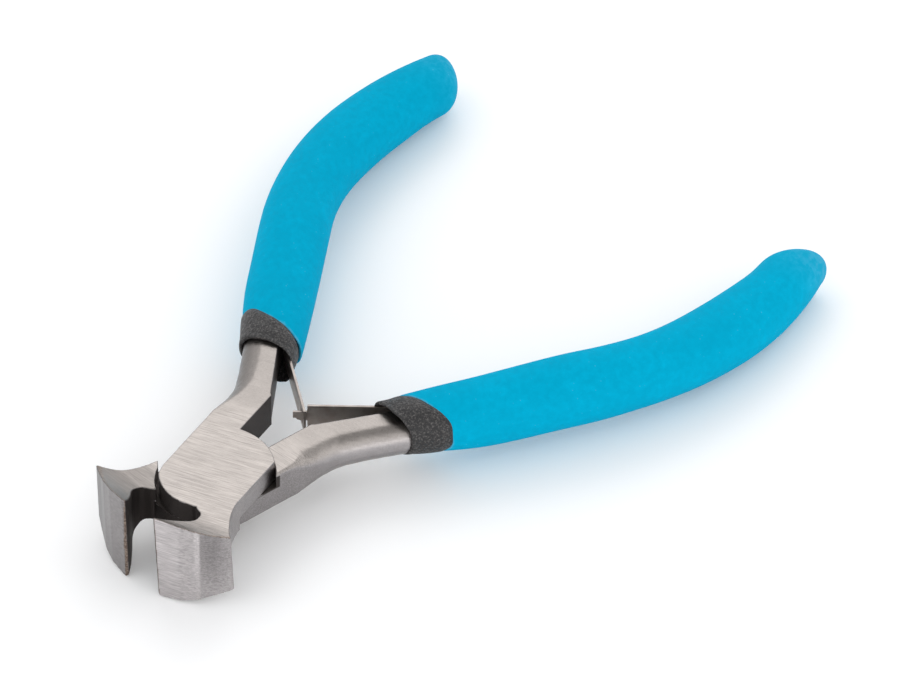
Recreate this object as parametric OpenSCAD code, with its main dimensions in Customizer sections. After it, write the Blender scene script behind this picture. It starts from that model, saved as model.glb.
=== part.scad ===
// Small end-cutting pliers: two steel halves lapped on a rivet, held open by two
// hooked leaf springs, with two-layer cushion grips.
//
// Origin: on the pivot axis, in the plane where the two lap plates meet.
// +X runs to the cutting edges, +Z runs up along the pivot. Sizes in millimetres.
//
// Both halves share one design. It is drawn once, closed, with its jaw on +Y, its
// handle on -Y and its lap plate above the meeting plane. The upper half is that
// design turned open; the lower half is turned over first, about the X axis.

/* [Opening] */
// Angle that each half stands open from the closed position, degrees
half_open = 9.9; // [6:0.1:11]
// Gap left between each cutting edge and the centre plane when closed
edge_gap = 0.06; // [0.02:0.01:0.2]

/* [Lap joint] */
// Thickness of the two lap plates together
joint_t = 7.3; // [6.5:0.1:8.5]
// Thickness of one half at the neck
neck_t = 5.95; // [5.2:0.05:6.4]
// Radius of the round ends of a lap plate
plate_r = 9.3; // [9:0.1:9.4]
// Width of a lap plate from the pivot to its jaw side
plate_jaw_side = 7.5; // [7:0.1:8]
// Width of a lap plate from the pivot to its handle side
plate_handle_side = 6.45; // [6:0.05:6.6]
// Running gap between the faces of the two plates
lap_gap = 0.1; // [0.06:0.02:0.2]
// Gap between a plate's round end and the shoulder that it turns in
arc_gap = 0.25; // [0.15:0.05:0.4]
// Radius of the pivot rivet
rivet_r = 2.5; // [2:0.1:3]
// Radius of the rivet's countersunk heads
rivet_head_r = 3.3; // [3.1:0.1:3.8]
// Height of the rivet's countersunk heads
rivet_head_h = 1.0; // [0.6:0.1:1.4]
// Radial running clearance between the rivet and the lower half
rivet_clear = 0.04; // [0.02:0.01:0.08]

/* [Jaws] */
// Distance from the pivot to the cutting edges
edge_x = 16.0; // [15:0.1:17]
// Width of one jaw from the centre plane to its outer corner
jaw_w = 11.1; // [10:0.1:12]
// Radius of the rounded outer face of the jaws
face_r = 18; // [17:0.5:20]
// Height of the cutting edges above the meeting plane
edge_top = 5.8; // [5:0.1:7]
// Depth of the cutting edges below the meeting plane
edge_low = 9.3; // [8:0.1:10]
// Radius of the closed end of the hollow behind the edges
hollow_r = 0.9; // [0.6:0.1:1.2]
// Width of the flat land along each cutting edge, across the tool
land_w = 0.45; // [0.3:0.05:0.6]

/* [Handles] */
// Slope of the straight stretch of a handle, closed, degrees from the X axis
handle_slope = 22; // [20:0.5:24]
// Length of the straight stretch, from the mouth of the sleeve
handle_straight = 31.3; // [28:0.1:34]
// Radius of the bent stretch
handle_bend_r = 51; // [48:1:56]
// Length of the bent stretch
handle_bend = 43.2; // [38:0.1:45]
// Width of the steel bar inside the grip
bar_w = 5.0; // [4.4:0.1:5.4]
// Thickness of the steel bar inside the grip
bar_t = 4.4; // [3.8:0.1:4.8]

/* [Grips] */
// Length of black sleeve that shows in front of the outer grip
collar_len = 5.4; // [4:0.2:7]
// How far the front edges of sleeve and grip lean forward on the inner side
front_slant = 1.7; // [0:0.1:2]
// How far the closed end of the grip leans back on the inner side
end_slant = 1.9; // [0:0.1:2.4]
// Wall of the outer grip
grip_wall = 1.5; // [1.2:0.1:1.8]
// Height of the upper handle's grip centre above the meeting plane
upper_grip_z = 0.75; // [0.3:0.05:1]
// Height of the lower handle's grip centre above the meeting plane
lower_grip_z = 0.35; // [-0.2:0.05:0.5]

/* [Leaf springs] */
// Thickness of the spring strip
leaf_t = 0.5; // [0.4:0.05:0.6]
// Width of the spring strip
leaf_w = 4.0; // [3.5:0.1:4.5]
// Width of the spring strip inside the grip
leaf_root_w = 2.8; // [2.6:0.1:3.2]
// Width of the tongue
tongue_w = 1.6; // [1.2:0.1:2]
// Width of the slot
slot_w = 2.2; // [2:0.1:2.6]
// Length of the slot
slot_len = 2.1; // [1.8:0.1:2.4]

/* [Hidden] */
$fn = 96;

half_t = joint_t / 2;
nose_x = edge_x + 0.4;                  // front of the rounded jaw faces
jaw_flare = [[3, 0.85], [1, 1.9]];      // curve power of each jaw's top and underside
waist_x = 4;                            // start of the curve from plate to jaw
hollow_at = [10.6, 3.35];               // centre of the hollow's closed end
hollow_back = [9.2, 2.2];               // where the hollow meets the plate
neck_edge = 1.2;                        // step along the outer edges of neck and shank
neck_low = neck_t - half_t;             // how far the neck reaches past the meeting plane
inner_y = -0.6;                         // inner wall of the neck, closed
ear_x = 4.6;                            // back end of the ear beside the other half's plate
corner_gap = 0.4;                       // running gap between the ear and that plate
// Rounded front corner of a plate on its handle side, as distances from the pivot
plate_corner = [[3.5, plate_handle_side], [5.4, 6.1], [6.8, 5.3], [8.55, 3.8], [9.4, 2.4]];
mouth = [-28.2, -8.0];                  // handle axis at the front of the sleeve, closed
handle_len = handle_straight + handle_bend;
cap_len = 2.7;                          // rounded end of the grip
shank_inner = 2.1;                      // inner face of the shank from the handle axis
shank_outer = 3.6;                      // outer face of the shank from the handle axis
shank_in_sleeve = 3;                    // how far the full shank runs into the sleeve
bar_shift = -0.4;                       // bar's centre from the handle axis
bar_len = 68;                           // bar's length inside the grip
bar_taper = 0.29;                       // share of its width that the bar loses along it
collar_half = [5.05, 4.65];             // half width and half height of the collar
rim_r = 0.3;                            // rounding of the collar's front rim
ring_n = 20;                            // points round a grip
slant_run = 14;                         // length over which a slant fades out
leaf_root = 20;                         // how far the spring's root lies inside the sleeve
leaf_bend = 3.62;                       // where the spring leaves the bar
leaf_offset = shank_inner + 0.05 + leaf_t / 2;
leaf_exit = [-28.34, -3.526];           // where the spring comes out of the sleeve, closed
leaf_lean = 41.2;                       // the spring's slope past that point, degrees
leaf_free = 12.6;                       // the spring's length past that point
slot_start = 9.7;                       // slot's near end, past that point
shoulder = 10.3;                        // where the other spring narrows to its tongue
spring_rivet_at = 15;                   // the spring's rivet, from the mouth of the sleeve
spring_rivet_r = 0.7;
spring_rivet_head = [1.3, 0.5];         // head radius and height
leaf_room = 0.6;                        // free room round a spring inside the sleeve

// Point of the handle axis at distance s from the mouth of the sleeve
function axis_slope(s) = handle_slope
    - max(0, s - handle_straight) / handle_bend_r * 180 / PI;
function bend_centre() = mouth
    + handle_straight * [-cos(handle_slope), -sin(handle_slope)]
    + handle_bend_r * [-sin(handle_slope), cos(handle_slope)];
function axis_at(s) = s <= handle_straight
    ? mouth + s * [-cos(handle_slope), -sin(handle_slope)]
    : bend_centre() + handle_bend_r * [sin(axis_slope(s)), -cos(axis_slope(s))];
// Unit vector across the handle, towards the other handle
function across(s) = [-sin(axis_slope(s)), cos(axis_slope(s))];
function beside(s, d) = axis_at(s) + d * across(s);

// Height of the jaw at x, from z0 at the joint to z1 at the edge, with curve power p
function jaw_z(x, z0, z1, p) =
    z0 + (z1 - z0) * pow(max(0, (x - plate_r) / (nose_x - plate_r)), p);

// Linear interpolation through a list of [s, value] pairs
function along(t, s, i = 0) = i >= len(t) - 1 ? t[len(t) - 1][1]
    : s <= t[i + 1][0]
    ? t[i][1] + (t[i + 1][1] - t[i][1]) * max(0, s - t[i][0]) / (t[i + 1][0] - t[i][0])
    : along(t, s, i + 1);

// Half width and half height of the outer grip along the handle
grip_half_w = [[0, 5.1], [6, 5.3], [16, 5.5], [40, 5.5], [55, 5.75], [66, 5.0], [75, 4.8]];
grip_half_h = [[0, 4.7], [6, 4.9], [16, 5.3], [31, 5.4], [47, 5.0], [66, 4.9], [75, 4.6]];

// Distances of the rings along the grip, and how far the rounded end has closed in
grip_rings = [for (i = [0:23]) collar_len + i * (handle_len - collar_len) / 23];
cap_steps = [0.35, 0.65, 0.88];
function cap_scale(u) = sqrt(1 - u * u);

// Slant of a ring at distance s: forward on the inner side in front, back on it at the end
function slant(s) = s < collar_len ? front_slant
    : max(front_slant * pow(max(0, 1 - (s - collar_len) / slant_run), 1.5),
          end_slant * max(0, 1 - (handle_len - s) / slant_run));

// One ring of points across the handle at distance s, centred at height z
function ring(s, half_w, half_h, z, s_out = 0) = [for (k = [0:ring_n - 1])
    let (a = 360 * k / ring_n,
         t = s - slant(s) * cos(a) * half_w / 5,
         c = beside(t, half_w * cos(a)) + s_out * [-cos(axis_slope(t)), -sin(axis_slope(t))])
    [c[0], c[1], z + half_h * sin(a)]];

function grip_ring_set(z, wall) = concat(
    [for (s = grip_rings) ring(s, along(grip_half_w, s) - wall, along(grip_half_h, s) - wall, z)],
    [for (u = cap_steps) ring(handle_len,
        (along(grip_half_w, handle_len) - wall) * cap_scale(u),
        (along(grip_half_h, handle_len) - wall) * cap_scale(u), z, u * (cap_len - wall / 2))]);

// Faces between consecutive rings of a flat point list, starting at point b
function skin(b, rings, flip) = [for (i = [0:rings - 2], k = [0:ring_n - 1], h = [0, 1])
    let (p = b + i * ring_n + k, q = b + i * ring_n + (k + 1) % ring_n,
         t = h == 0 ? [p, q, q + ring_n] : [p, q + ring_n, p + ring_n])
    flip ? [t[2], t[1], t[0]] : t];
function disc(b, flip) = [flip ? [for (k = [ring_n - 1:-1:0]) b + k] : [for (k = [0:ring_n - 1]) b + k]];
function flat(l) = [for (a = l, b = a) b];

// Solid swept through rings
module swept(rings) {
    n = len(rings);
    polyhedron(flat(rings), concat(skin(0, n, false), disc(0, true), disc((n - 1) * ring_n, false)), 4);
}

// Hollow shell between two sets of rings, open at its first ring and closed at its last
module shell(outer, inner) {
    n = len(outer);
    m = len(inner);
    b = n * ring_n;
    mouth_faces = [for (k = [0:ring_n - 1], h = [0, 1])
        let (p = k, q = (k + 1) % ring_n)
        h == 0 ? [q, p, b + p] : [q, b + p, b + q]];
    polyhedron(flat(concat(outer, inner)),
        concat(skin(0, n, false), disc((n - 1) * ring_n, false), mouth_faces,
               skin(b, m, true), disc(b + (m - 1) * ring_n, true)), 4);
}

module slab(z0, z1) translate([0, 0, z0]) linear_extrude(height = z1 - z0) children();

// Places for the two halves
module upper_place() rotate([0, 0, half_open]) children();
module lower_place() rotate([0, 0, -half_open]) rotate([180, 0, 0]) children();

// ---- the steel half, drawn closed ----

module lap_plate() intersection() {
    translate([0, 0, lap_gap / 2]) cylinder(r = plate_r, h = half_t - lap_gap / 2);
    slab(0, half_t) polygon(concat(
        [[-15, -plate_handle_side]], [for (p = plate_corner) [p[0], -p[1]]],
        [[15, plate_jaw_side], [-15, plate_jaw_side]]));
}

// Room for the other half's plate, below the meeting plane
module plate_recess() intersection() {
    cylinder(r = plate_r + arc_gap, h = 30, center = true);
    slab(-14, lap_gap / 2) polygon(concat(
        [[-15, -15], [-15, 15], [ear_x, 15]],
        [for (p = plate_corner) if (p[0] >= ear_x - 0.3) p + corner_gap * [0.5, 0.87]],
        [[15, -15]]));
}

// Plan of one jaw, with the waist behind it and the hollow in front of the plate
module jaw_plan() {
    face_x = edge_x + land_w - edge_gap - face_r;
    corner_x = face_x + sqrt(face_r * face_r - jaw_w * jaw_w);
    rise = jaw_w - plate_jaw_side;
    run = corner_x - waist_x;
    waist_r = (run * run + rise * rise) / (2 * rise);
    waist_end = asin(run / waist_r);
    corner_a = asin(jaw_w / face_r);
    land_a = asin(land_w / face_r);
    polygon(concat(
        [for (i = [0:8]) let (a = waist_end * i / 8)
            [waist_x + waist_r * sin(a), plate_jaw_side + waist_r * (1 - cos(a))]],
        [for (i = [1:14]) let (a = corner_a + (land_a - corner_a) * i / 14)
            [face_x + face_r * cos(a), face_r * sin(a)]],
        [[edge_x, edge_gap]],
        [for (i = [0:6]) let (a = 45 + i * 22.5)
            hollow_at + hollow_r * [cos(a), sin(a)]],
        [hollow_back, [waist_x, hollow_back[1]]]));
}

// Side view of the jaw, as a block across the whole tool
module jaw_side(z_top, z_low, flare) {
    xs = [for (i = [0:9]) plate_r + i * (nose_x + 0.3 - plate_r) / 9];
    rotate([90, 0, 0]) linear_extrude(height = 40, center = true) polygon(concat(
        [[0, half_t]],
        [for (x = xs) [x, jaw_z(x, half_t, z_top, flare[0])]],
        [for (i = [9:-1:0]) [xs[i], jaw_z(xs[i], -neck_low, z_low, flare[1])]],
        [[0, -neck_low]]));
}

// Steel from the plate to the mouth of the sleeve, at its widest level
module shank_plan(trim = 0) polygon([
    [-3, inner_y], [-18.5, inner_y], beside(0, shank_inner), beside(shank_in_sleeve, shank_inner),
    beside(shank_in_sleeve, -shank_outer + trim), beside(0, -shank_outer + trim),
    [-22.5, -9.0 + trim], [-18.5, -7.5 + trim], [-14, -7.2 + trim],
    [-9.4, -plate_handle_side], [-3, -plate_handle_side]]);

// Steel bar inside the grip
module bar_plan() polygon(concat(
    [for (i = [0:16]) beside(bar_len * i / 16, bar_shift + bar_w / 2 * (1 - bar_taper * i / 16))],
    [for (i = [16:-1:0]) beside(bar_len * i / 16, bar_shift - bar_w / 2 * (1 - bar_taper * i / 16))]));

module handle_bar(grip_z) {
    slab(-neck_low, half_t) shank_plan(neck_edge);
    slab(neck_edge - neck_low, half_t - neck_edge) shank_plan(0);
    slab(grip_z - bar_t / 2, grip_z + bar_t / 2) bar_plan();
}

// Line of the spring rivet, square to the handle: +Z of the children points to the other handle
module on_rivet_line() translate([axis_at(spring_rivet_at)[0], axis_at(spring_rivet_at)[1], 0])
    rotate([0, 0, axis_slope(spring_rivet_at)]) rotate([-90, 0, 0]) children();

module steel_half(z_top, z_low, flare, grip_z, bore_r, sink_clear) difference() {
    union() {
        lap_plate();
        intersection() {
            slab(-14, 14) jaw_plan();
            jaw_side(z_top, z_low, flare);
        }
        handle_bar(grip_z);
    }
    plate_recess();
    translate([0, 0, -1]) cylinder(r = bore_r, h = half_t + 2);
    translate([0, 0, half_t - rivet_head_h])
        cylinder(r1 = bore_r, r2 = rivet_head_r + sink_clear, h = rivet_head_h + 0.001);
    on_rivet_line() translate([0, 0, -6]) cylinder(r = spring_rivet_r, h = 12);
}

module upper_half() color([0.78, 0.76, 0.74]) upper_place()
    steel_half(edge_top, -edge_low, jaw_flare[0], upper_grip_z, rivet_r, 0);

module lower_half() color([0.72, 0.70, 0.68]) lower_place()
    steel_half(edge_low, -edge_top, jaw_flare[1], -lower_grip_z, rivet_r + rivet_clear, rivet_clear);

module pivot_rivet() color([0.66, 0.65, 0.64]) {
    translate([0, 0, -half_t]) cylinder(r = rivet_r, h = joint_t);
    for (side = [0, 180]) rotate([side, 0, 0]) translate([0, 0, half_t - rivet_head_h])
        cylinder(r1 = rivet_r, r2 = rivet_head_r, h = rivet_head_h);
}

// ---- leaf springs, drawn closed with the steel half ----

function leaf_point(d) = leaf_exit + d * [cos(leaf_lean), sin(leaf_lean)];

// Plan of a strip from its root in the sleeve, round the bend and out to distance d
function leaf_edge(d, off) = [
    beside(leaf_root, leaf_offset + off),
    beside(leaf_bend, leaf_offset) + off / cos((leaf_lean - handle_slope) / 2)
        * [-sin((leaf_lean + handle_slope) / 2), cos((leaf_lean + handle_slope) / 2)],
    leaf_point(d) + off * [-sin(leaf_lean), cos(leaf_lean)]];

module leaf_strip(d, w) {
    near = leaf_edge(d, -leaf_t / 2);
    far = leaf_edge(d, leaf_t / 2);
    slab(-leaf_root_w / 2, leaf_root_w / 2) polygon([near[0], near[1], near[2], far[2], far[1], far[0]]);
    slab(-w / 2, w / 2) polygon([near[1], near[2], far[2], far[1]]);
}

module leaf_tongue_plan() polygon([
    for (e = [[-1, shoulder - 1], [-1, leaf_free], [1, leaf_free], [1, shoulder - 1]])
        leaf_point(e[1]) + e[0] * leaf_t / 2 * [-sin(leaf_lean), cos(leaf_lean)]]);

module leaf_rivet_hole() on_rivet_line() cylinder(r = spring_rivet_r + 0.1, h = 6);

module slotted_leaf_spring() color([0.80, 0.78, 0.75]) upper_place() difference() {
    leaf_strip(leaf_free, leaf_w);
    leaf_rivet_hole();
    translate([leaf_point(slot_start)[0], leaf_point(slot_start)[1], -slot_w / 2])
        rotate([0, 0, leaf_lean]) translate([0, -2, 0]) cube([slot_len, 4, slot_w]);
}

module tongue_leaf_spring() color([0.74, 0.72, 0.70]) lower_place() difference() {
    union() {
        leaf_strip(shoulder, leaf_w);
        slab(-tongue_w / 2, tongue_w / 2) leaf_tongue_plan();
    }
    leaf_rivet_hole();
}

module spring_rivet() on_rivet_line() {
    top = leaf_offset + leaf_t / 2 + 0.05;
    translate([0, 0, bar_shift - bar_w / 2]) cylinder(r = spring_rivet_r, h = top - bar_shift + bar_w / 2);
    translate([0, 0, top]) cylinder(r = spring_rivet_head[0], h = spring_rivet_head[1]);
}
module slotted_spring_rivet() color([0.7, 0.7, 0.7]) upper_place() spring_rivet();
module tongue_spring_rivet() color([0.7, 0.7, 0.7]) lower_place() spring_rivet();

// ---- grips ----

// Room for the spring and its rivet between the bar and the sleeve
module spring_pocket() {
    inside = shank_inner - 0.3;
    outside = leaf_offset + leaf_t + 0.05;
    rise = tan(leaf_lean - handle_slope);
    root_room = leaf_root_w + leaf_room;
    front_room = leaf_w + leaf_room;
    slab(-root_room / 2, root_room / 2) polygon([beside(leaf_bend - 1, inside),
        beside(leaf_root + 1, inside), beside(leaf_root + 1, outside), beside(leaf_bend - 1, outside)]);
    slab(-front_room / 2, front_room / 2) polygon([beside(-3, inside), beside(leaf_bend + 0.3, inside),
        beside(leaf_bend + 0.3, outside), beside(leaf_bend, outside),
        beside(-3, outside + (leaf_bend + 3) * rise)]);
    on_rivet_line() cylinder(r = spring_rivet_head[0] + 0.1, h = outside + 0.3);
    on_rivet_line() translate([0, 0, -3.2]) cylinder(r = spring_rivet_r, h = 3.2);
}

// Outer form of the sleeve: the collar that shows, then a step down inside the grip
module sleeve_form(grip_z) swept(concat(
    [ring(0, collar_half[0] - rim_r, collar_half[1] - rim_r, grip_z),
     ring(0.5, collar_half[0], collar_half[1], grip_z),
     ring(collar_len - 0.01, collar_half[0], collar_half[1], grip_z)],
    grip_ring_set(grip_z, grip_wall)));

module sleeve(grip_z) difference() {
    sleeve_form(grip_z);
    handle_bar(grip_z);
    spring_pocket();
}

module upper_sleeve() color([0.13, 0.13, 0.13]) upper_place() sleeve(upper_grip_z);
module lower_sleeve() color([0.13, 0.13, 0.13]) lower_place() sleeve(-lower_grip_z);

module grip(grip_z) shell(grip_ring_set(grip_z, 0), grip_ring_set(grip_z, grip_wall));

module upper_grip() color([0.03, 0.62, 0.80]) upper_place() grip(upper_grip_z);
module lower_grip() color([0.03, 0.62, 0.80]) lower_place() grip(-lower_grip_z);

upper_half();
lower_half();
pivot_rivet();
slotted_leaf_spring();
tongue_leaf_spring();
slotted_spring_rivet();
tongue_spring_rivet();
upper_sleeve();
lower_sleeve();
upper_grip();
lower_grip();
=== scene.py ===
import math

import bmesh
import bpy
import numpy as np
from mathutils import Matrix, Vector


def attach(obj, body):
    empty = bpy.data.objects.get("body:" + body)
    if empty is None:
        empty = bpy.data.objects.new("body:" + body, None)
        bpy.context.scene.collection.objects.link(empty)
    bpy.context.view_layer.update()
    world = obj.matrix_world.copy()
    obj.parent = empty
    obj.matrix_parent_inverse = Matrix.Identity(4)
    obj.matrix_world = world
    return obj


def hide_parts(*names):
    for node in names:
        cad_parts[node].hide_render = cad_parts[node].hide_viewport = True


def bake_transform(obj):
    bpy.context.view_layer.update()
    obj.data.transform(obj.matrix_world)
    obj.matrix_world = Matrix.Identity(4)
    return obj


# Small end-cutting pliers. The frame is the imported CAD: origin on the pivot axis in the lap plane,
# +X to the cutting edges, +Z up along the pivot. Shapes are written in millimetres in the closed
# frame of one half (jaw on +Y, handle on -Y) and turned open, as in the CAD.

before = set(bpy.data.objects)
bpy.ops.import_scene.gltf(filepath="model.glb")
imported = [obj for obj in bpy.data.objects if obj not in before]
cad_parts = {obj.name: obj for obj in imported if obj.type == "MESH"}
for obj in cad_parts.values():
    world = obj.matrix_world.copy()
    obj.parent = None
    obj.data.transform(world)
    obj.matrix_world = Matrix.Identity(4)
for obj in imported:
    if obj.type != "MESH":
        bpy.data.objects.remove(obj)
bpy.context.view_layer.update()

MM = 0.001
HALF_OPEN = 9.9                # degrees each half is turned from closed
TOP = 3.65                     # half of the joint's thickness
NECK_LOW = -2.3                # underside of the neck
PLATE_R = 9.3                  # radius of the round lap plate
LAP_GAP = 0.05                 # from the middle of the joint to each lap face
JAW_END = 16.4                 # x at which the slopes of the jaws' ends are given
HANDLE_SLOPE = 22.0            # degrees between a handle's straight part and the centre line
STRAIGHT = 31.3                # length of the straight part, from the sleeve's mouth
BEND_R = 51.0                  # radius of the curved part
BEND = 43.2                    # length of the curved part
LENGTH = STRAIGHT + BEND
MOUTH = np.array([-28.2, -8.0])                # middle of the sleeve's mouth
BAR_Z = {"upper": 0.75, "lower": -0.35}        # height of each handle's bar in its own half
STEEL_Z = 0.675                # height in the frame of both shanks' middles where they enter the sleeves
PLACE = {"upper": Matrix.Rotation(math.radians(HALF_OPEN), 4, "Z"),
         "lower": Matrix.Rotation(math.radians(-HALF_OPEN), 4, "Z") @ Matrix.Rotation(math.pi, 4, "X")}


def placed(co_mm, matrix):
    """Closed-frame millimetres to row-frame metres."""
    m = np.array(matrix)[:3, :3]
    return (np.asarray(co_mm, float) * MM) @ m.T


# ------------------------------------------------------------------ distance fields

def fillet(corners, steps=5):
    """Polygon from (x, y, radius) corners, each rounded to its radius."""
    out = []
    n = len(corners)
    for i in range(n):
        x, y, r = corners[i]
        p = np.array([x, y], float)
        if r <= 0:
            out.append(p)
            continue
        a = np.array(corners[i - 1][:2], float) - p
        b = np.array(corners[(i + 1) % n][:2], float) - p
        la, lb = np.linalg.norm(a), np.linalg.norm(b)
        a, b = a / la, b / lb
        half = math.acos(max(-1, min(1, float(a @ b)))) / 2
        if half > 1.55:        # the corner is all but straight
            out.append(p)
            continue
        t = min(r / math.tan(half), 0.45 * la, 0.45 * lb)
        r = t * math.tan(half)
        c = p + (a + b) / np.linalg.norm(a + b) * r / math.sin(half)
        s, e = p + a * t - c, p + b * t - c
        turn = math.atan2(s[0] * e[1] - s[1] * e[0], s @ e)
        for k in range(steps + 1):
            w = turn * k / steps
            cos, sin = math.cos(w), math.sin(w)
            out.append(c + np.array([s[0] * cos - s[1] * sin, s[0] * sin + s[1] * cos]))
    return np.array(out)


def polygon(x, y, pts):
    """Signed distance to a closed polygon, negative inside."""
    best = None
    inside = np.zeros(np.broadcast(x, y).shape, bool)
    n = len(pts)
    for i in range(n):
        (ax, ay), (bx, by) = pts[i], pts[(i + 1) % n]
        ex, ey = bx - ax, by - ay
        wx, wy = x - ax, y - ay
        t = np.clip((wx * ex + wy * ey) / (ex * ex + ey * ey + 1e-12), 0, 1)
        d = (wx - ex * t) ** 2 + (wy - ey * t) ** 2
        best = d if best is None else np.minimum(best, d)
        if ey != 0:
            crosses = ((ay <= y) != (by <= y)) & (x < ax + (y - ay) * ex / ey)
            inside ^= crosses
    return np.where(inside, -1, 1) * np.sqrt(best)


def round_max(a, b, r):
    """Common part of two solids, with the edge where they meet rounded to r."""
    return np.minimum(-r, np.maximum(a, b)) + np.hypot(np.maximum(a + r, 0), np.maximum(b + r, 0))


def smooth_step(a, b, v):
    """0 at a, 1 at b, with an even ease between."""
    t = np.clip((v - a) / (b - a), 0, 1)
    return t * t * (3 - 2 * t)


def wobble(x, y, z, s):
    """Smooth uneven ripple between -1 and 1, for forged surfaces; s sets how close the ripples are."""
    x, y, z = s * x, s * y, s * z
    wide = np.sin(1.7 * x + 2.1 * np.sin(0.9 * y + 1)) * np.sin(1.3 * y + 1.9 * np.sin(0.8 * z + 2))
    close = np.sin(2.9 * x + 3.1 * z + np.sin(2.3 * y)) * np.sin(3.3 * y - 1.1 * x)
    return 0.6 * wide + 0.4 * close


# Outer side wall of the neck and shank at its widest level, and the inner wall
OUTER_WALL = [(6, -6.5), (-9.4, -6.55), (-14, -7.05), (-18.5, -7.55), (-22.5, -9.1), (-28.3, -11.75),
              (-32.5, -13.5)]
NECK_WIDE = fillet([(x, y, 9.0) for x, y in OUTER_WALL] + [(-60, -20, 0), (-60, 30, 0), (6, 30, 0)], 4)
NECK_INNER = fillet([(12, -0.75, 0), (-18.3, -0.75, 0.3), (-18.75, -1.15, 0.4), (-29.2, -6.1, 4),
                     (-34, -8.1, 0), (-34, -40, 0), (12, -40, 0)], 4)
# Rounding of the bar's outer corners along x: radius in plan, height, rise of the back over the joint's
# top, and height of the lower rounding
ROUND_AT = [-31.0, -24.0, -20.5, -18.3, -15.7, -13.7, -10.9, -9.4, 0.0]
ROUND_R = [4.5, 4.7, 4.8, 4.9, 5.2, 3.9, 1.1, 0.7, 0.6]
ROUND_H = [3.1, 3.15, 3.25, 3.35, 3.4, 2.6, 1.1, 0.7, 0.6]
ROUND_RISE = [0.16, 0.18, 0.26, 0.42, 0.75, 0.7, 0.4, 0.3, 0.3]
ROUND_LOW_H = [2.95, 2.95, 2.9, 2.7, 2.3, 1.9, 1.1, 0.6, 0.4]
LOW_CORNER = 3.2               # greatest radius in plan of the lower rounding

FACE_R = 18.0                  # radius of the jaw's outer face
FACE_CENTRE = 16.33 - FACE_R   # x of its centre
FACE_STOPS = [1.43, 12.5, 20.5, 29.5]      # degrees round the face where its ground facets meet
FACET_BULGE = 0.06             # how far the corners between two facets stand out
WAIST_START, WAIST_END = (4.0, 7.42), (12.66, 11.35)


def jaw_plan():
    """One jaw in plan: waist, ground face, land, back and hollow."""
    (x0, y0), (x1, y1) = WAIST_START, WAIST_END
    run, rise = x1 - x0, y1 - y0
    r = (run * run + rise * rise) / (2 * rise)
    angles = np.linspace(0, math.asin(run / r), 9)
    waist = [(x0 + r * math.sin(a), y0 + r * (1 - math.cos(a)), 0) for a in angles]
    waist[-1] = (*waist[-1][:2], 0.25)
    face = []
    for a in FACE_STOPS[::-1]:
        reach = FACE_R + (FACET_BULGE if FACE_STOPS[0] < a < FACE_STOPS[-1] else 0)
        face.append((FACE_CENTRE + reach * math.cos(math.radians(a)), reach * math.sin(math.radians(a)), 3.0))
    face[-1] = (*face[-1][:2], 0.05)
    back = [(16.0, 0.06, 0.0), (14.85, 0.86, 2.0), (13.5, 2.3, 3.0), (12.35, 3.7, 2.0), (11.5, 4.3, 1.2),
            (10.0, 4.3, 1.2), (9.2, 2.9, 0.6), (8.0, 2.0, 0), (4.0, 2.0, 0)]
    return fillet(waist + face + back, 5)


JAW = jaw_plan()
# The lap plate's corner towards the jaw is cut back; the other half's recess follows the same line
PLATE_CORNER = [(3.5, 6.45, 4.0), (5.3, 6.08, 2.0), (6.1, 5.5, 2.0), (6.8, 4.86, 2.0), (7.6, 3.98, 3.0),
                (8.3, 2.9, 3.0), (8.85, 1.6, 3.0)]
PLATE_SIDE = fillet([(-30, -6.45, 0)] + [(x, -y, r) for x, y, r in PLATE_CORNER] +
                    [(9.12, 0, 3.0), (9.05, 2.2, 0.5), (20, 7.5, 0), (-30, 7.5, 0)], 6)
RECESS_SCALE = 1.009
RECESS = fillet([(-40, -40, 0), (-40, 30, 0), (4.26, 30, 0), (4.26, 7.6, 0.0)] +
                [(x * RECESS_SCALE, y * RECESS_SCALE, r) for x, y, r in PLATE_CORNER[1:]] +
                [(10.5, 0, 0), (30, -40, 0)], 4)
RECESS_GAP = 0.12              # between the plate's round edge and the recess


def side_height(x, z0, z1, p):
    """A jaw's top or bottom height at x, and the factor that makes the distance true on its slope."""
    run = JAW_END - PLATE_R
    t = np.clip((x - PLATE_R) / run, 0, 1.15)
    slope = (z1 - z0) / run * p * np.maximum(t, 1e-3) ** (p - 1)
    return z0 + (z1 - z0) * t ** p, 1 / np.sqrt(1 + np.where(t > 0, slope, 0) ** 2)


def leaned_jaw(x, y, shift):
    """Distance to the jaw's plan moved sideways by shift; on a grid only the jaw's own region is moved."""
    if shift.ndim < 3:
        return polygon(x, y - shift, JAW)
    out = np.broadcast_to(polygon(x, y, JAW), shift.shape).copy()
    i, j = np.flatnonzero(x[:, 0, 0] > PLATE_R), np.flatnonzero(y[0, :, 0] > -1.5)
    part = np.ix_(i, j)
    out[part] = polygon(*np.broadcast_arrays(x[i], y[:, j] - shift[part]), JAW)
    return out


def rounded_corner(g, rise, across, height):
    """Distance to a bar's elliptic corner: g is the depth inside its side wall, rise the height into it."""
    u = np.maximum(across - g, 0) / across
    return (np.sqrt(u * u + (np.maximum(rise, 0) / height) ** 2) - 1) * np.minimum(across, height)


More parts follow.
